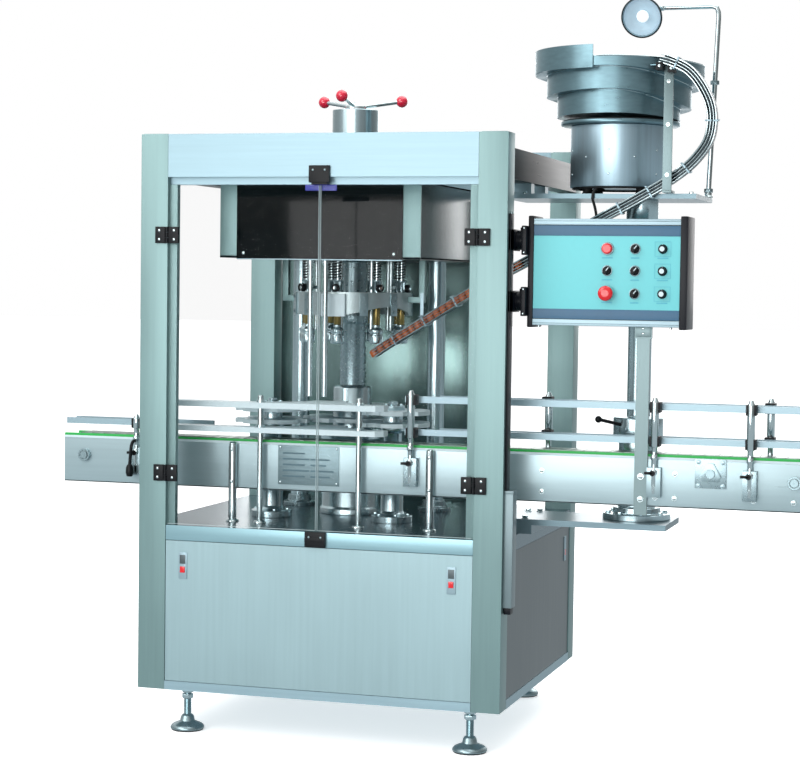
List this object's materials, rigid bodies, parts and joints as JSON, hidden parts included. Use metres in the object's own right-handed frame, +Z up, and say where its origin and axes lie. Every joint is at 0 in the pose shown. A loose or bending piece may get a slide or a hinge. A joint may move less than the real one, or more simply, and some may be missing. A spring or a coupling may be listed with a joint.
{
  "type": "capping machine",
  "caption": "Rotary bottle-capping machine in a guarded cabinet, with a belt conveyor, star wheels, a capping head, a bowl cap feeder with chute and a control box.",
  "frame": {"origin": "floor point under the middle of the machine's bounding box", "axes": "+X along the conveyor to the feeder side, +Y from the operator's side to the back, +Z up"},
  "size_m": [2.276, 0.985, 2.1716],
  "materials": {
    "frame_steel": "satin brushed",
    "beam_steel": "satin brushed",
    "panel_steel": "satin brushed",
    "polished_steel": "polished",
    "dark_cover": "gloss",
    "black_plastic": "satin",
    "guide_plastic": "satin",
    "clear_door": "clear",
    "box_face": "satin",
    "red_plastic": "gloss",
    "chuck_brass": "satin"
  },
  "bodies": {
    "machine": {"left_frame": "frame_steel", "right_frame": "frame_steel", "front_beam": "beam_steel", "rear_beam": "beam_steel", "base_plate": "frame_steel", "deck_plate": "panel_steel", "rear_cover": "dark_cover", "front_left_foot": "polished_steel", "front_right_foot": "polished_steel", "rear_left_foot": "polished_steel", "rear_right_foot": "polished_steel", "conveyor_frame": "panel_steel", "conveyor_chain": "polished_steel", "infeed_front_rail": "panel_steel", "infeed_rear_rail": "panel_steel", "outfeed_front_rail": "panel_steel", "outfeed_rear_rail": "panel_steel", "bottle_guide": "guide_plastic", "support_bracket": "panel_steel", "support_column": "panel_steel", "feeder_platform": "panel_steel", "panel_bar": "panel_steel", "feeder_drum": "polished_steel", "feeder_bowl": "polished_steel", "cap_chute": "dark_cover", "control_mast": "black_plastic", "control_box": "box_face"},
    "head": {"head_housing": "dark_cover", "cam_ring": "guide_plastic"},
    "front_panel": {"front_panel": "panel_steel"},
    "right_panel": {"right_panel": "panel_steel"},
    "left_panel": {"left_panel": "panel_steel"},
    "left_door": {"left_door": "clear_door"},
    "right_door": {"right_door": "clear_door"},
    "idler_shaft": {"idler_shaft": "polished_steel"},
    "drive_shaft": {"drive_shaft": "polished_steel"},
    "left_star": {"left_star": "guide_plastic"},
    "right_star": {"right_star": "guide_plastic"},
    "turret": {"turret": "polished_steel"},
    "spindle_carrier": {"spindle_carrier": "polished_steel"},
    "handwheel": {"handwheel": "red_plastic"},
    "lamp_pole": {"lamp_pole": "beam_steel"},
    "lamp_head": {"lamp_head": "beam_steel"},
    "start_button": {"start_button": "red_plastic"},
    "stop_button": {"stop_button": "red_plastic"},
    "spindle_1": {"spindle_1": "chuck_brass"},
    "spindle_2": {"spindle_2": "chuck_brass"},
    "spindle_3": {"spindle_3": "chuck_brass"},
    "spindle_4": {"spindle_4": "chuck_brass"},
    "spindle_5": {"spindle_5": "chuck_brass"},
    "spindle_6": {"spindle_6": "chuck_brass"},
    "spindle_7": {"spindle_7": "chuck_brass"},
    "spindle_8": {"spindle_8": "chuck_brass"},
    "selector_1": {"selector_1": "black_plastic"},
    "selector_2": {"selector_2": "black_plastic"},
    "selector_3": {"selector_3": "black_plastic"},
    "selector_4": {"selector_4": "black_plastic"},
    "dial_1": {"dial_1": "black_plastic"},
    "dial_2": {"dial_2": "black_plastic"},
    "dial_3": {"dial_3": "black_plastic"}
  },
  "joints": [
    {"name": "left_door_hinge", "type": "hinge", "parent": "machine", "child": "left_door", "pos_m": [-0.7275, -0.4875, 1.1], "axis": [0, 0, 1], "range_deg": [-100, 0]},
    {"name": "right_door_hinge", "type": "hinge", "parent": "machine", "child": "right_door", "pos_m": [0.2035, -0.4875, 1.1], "axis": [0, 0, 1], "range_deg": [0, 100]},
    {"name": "front_panel_pull", "type": "slide", "parent": "machine", "child": "front_panel", "axis": [0, -1, 0], "range_m": [0, 0.25]},
    {"name": "right_panel_pull", "type": "slide", "parent": "machine", "child": "right_panel", "axis": [1, 0, 0], "range_m": [0, 0.25]},
    {"name": "left_panel_pull", "type": "slide", "parent": "machine", "child": "left_panel", "axis": [-1, 0, 0], "range_m": [0, 0.25]},
    {"name": "head_lift", "type": "slide", "parent": "machine", "child": "head", "axis": [0, 0, 1], "range_m": [0, 0.06]},
    {"name": "handwheel_turn", "type": "hinge", "parent": "head", "child": "handwheel", "pos_m": [-0.332, 0.05305, 1.86], "axis": [0, 0, 1], "range_deg": [0, 2160]},
    {"name": "turret_turn", "type": "hinge", "parent": "machine", "child": "turret", "pos_m": [-0.332, 0.05305, 0.9], "axis": [0, 0, 1], "continuous": true},
    {"name": "carrier_turn", "type": "hinge", "parent": "head", "child": "spindle_carrier", "pos_m": [-0.332, 0.05305, 1.358], "axis": [0, 0, 1], "continuous": true},
    {"name": "spindle_1_spin", "type": "hinge", "parent": "spindle_carrier", "child": "spindle_1", "pos_m": [-0.2224, -0.05655, 1.25], "axis": [0, 0, 1], "continuous": true},
    {"name": "spindle_2_spin", "type": "hinge", "parent": "spindle_carrier", "child": "spindle_2", "pos_m": [-0.177, 0.05305, 1.25], "axis": [0, 0, 1], "continuous": true},
    {"name": "spindle_3_spin", "type": "hinge", "parent": "spindle_carrier", "child": "spindle_3", "pos_m": [-0.2224, 0.16265, 1.25], "axis": [0, 0, 1], "continuous": true},
    {"name": "spindle_4_spin", "type": "hinge", "parent": "spindle_carrier", "child": "spindle_4", "pos_m": [-0.332, 0.20805, 1.25], "axis": [0, 0, 1], "continuous": true},
    {"name": "spindle_5_spin", "type": "hinge", "parent": "spindle_carrier", "child": "spindle_5", "pos_m": [-0.4416, 0.16265, 1.25], "axis": [0, 0, 1], "continuous": true},
    {"name": "spindle_6_spin", "type": "hinge", "parent": "spindle_carrier", "child": "spindle_6", "pos_m": [-0.487, 0.05305, 1.25], "axis": [0, 0, 1], "continuous": true},
    {"name": "spindle_7_spin", "type": "hinge", "parent": "spindle_carrier", "child": "spindle_7", "pos_m": [-0.4416, -0.05655, 1.25], "axis": [0, 0, 1], "continuous": true},
    {"name": "spindle_8_spin", "type": "hinge", "parent": "spindle_carrier", "child": "spindle_8", "pos_m": [-0.332, -0.10195, 1.25], "axis": [0, 0, 1], "continuous": true},
    {"name": "left_star_turn", "type": "hinge", "parent": "machine", "child": "left_star", "pos_m": [-0.5238, -0.13875, 0.9], "axis": [0, 0, 1], "continuous": true},
    {"name": "right_star_turn", "type": "hinge", "parent": "machine", "child": "right_star", "pos_m": [-0.1402, -0.13875, 0.9], "axis": [0, 0, 1], "continuous": true},
    {"name": "drive_shaft_turn", "type": "hinge", "parent": "machine", "child": "drive_shaft", "pos_m": [1.0699, -0.255, 0.7925], "axis": [0, 1, 0], "continuous": true},
    {"name": "idler_shaft_turn", "type": "hinge", "parent": "machine", "child": "idler_shaft", "pos_m": [-1.0699, -0.255, 0.7925], "axis": [0, 1, 0], "continuous": true},
    {"name": "lamp_pole_swivel", "type": "hinge", "parent": "machine", "child": "lamp_pole", "pos_m": [0.762, 0.0475, 1.59], "axis": [0, 0, 1], "range_deg": [-60, 60]},
    {"name": "lamp_head_tilt", "type": "hinge", "parent": "lamp_pole", "child": "lamp_head", "pos_m": [0.608, 0.0435, 2.148], "axis": [1, 0, 0], "range_deg": [-35, 35]},
    {"name": "start_button_press", "type": "slide", "parent": "machine", "child": "start_button", "axis": [0, 1, 0], "range_m": [0, 0.005], "stiffness_N_per_m": 400},
    {"name": "stop_button_press", "type": "slide", "parent": "machine", "child": "stop_button", "axis": [0, 1, 0], "range_m": [0, 0.005], "stiffness_N_per_m": 600},
    {"name": "selector_1_turn", "type": "hinge", "parent": "machine", "child": "selector_1", "pos_m": [0.628, -0.3925, 1.431], "axis": [0, 1, 0], "range_deg": [-45, 45]},
    {"name": "selector_2_turn", "type": "hinge", "parent": "machine", "child": "selector_2", "pos_m": [0.55, -0.3925, 1.37], "axis": [0, 1, 0], "range_deg": [-45, 45]},
    {"name": "selector_3_turn", "type": "hinge", "parent": "machine", "child": "selector_3", "pos_m": [0.628, -0.3925, 1.37], "axis": [0, 1, 0], "range_deg": [-45, 45]},
    {"name": "selector_4_turn", "type": "hinge", "parent": "machine", "child": "selector_4", "pos_m": [0.628, -0.3925, 1.307], "axis": [0, 1, 0], "range_deg": [-45, 45]},
    {"name": "dial_1_turn", "type": "hinge", "parent": "machine", "child": "dial_1", "pos_m": [0.705, -0.3925, 1.431], "axis": [0, 1, 0], "range_deg": [-135, 135]},
    {"name": "dial_2_turn", "type": "hinge", "parent": "machine", "child": "dial_2", "pos_m": [0.705, -0.3925, 1.37], "axis": [0, 1, 0], "range_deg": [-135, 135]},
    {"name": "dial_3_turn", "type": "hinge", "parent": "machine", "child": "dial_3", "pos_m": [0.705, -0.3925, 1.307], "axis": [0, 1, 0], "range_deg": [-135, 135]}
  ],
  "couplings": [
    {"joint": "handwheel_turn", "follows": "head_lift", "rad_per_m": 628.32},
    {"joint": "carrier_turn", "follows": "turret_turn", "ratio": 1},
    {"joint": "left_star_turn", "follows": "turret_turn", "ratio": -1.3333},
    {"joint": "right_star_turn", "follows": "turret_turn", "ratio": -1.3333},
    {"joint": "idler_shaft_turn", "follows": "drive_shaft_turn", "ratio": 1},
    {"joint": "spindle_1_spin", "follows": "turret_turn", "ratio": -4},
    {"joint": "spindle_2_spin", "follows": "turret_turn", "ratio": -4},
    {"joint": "spindle_3_spin", "follows": "turret_turn", "ratio": -4},
    {"joint": "spindle_4_spin", "follows": "turret_turn", "ratio": -4},
    {"joint": "spindle_5_spin", "follows": "turret_turn", "ratio": -4},
    {"joint": "spindle_6_spin", "follows": "turret_turn", "ratio": -4},
    {"joint": "spindle_7_spin", "follows": "turret_turn", "ratio": -4},
    {"joint": "spindle_8_spin", "follows": "turret_turn", "ratio": -4}
  ]
}
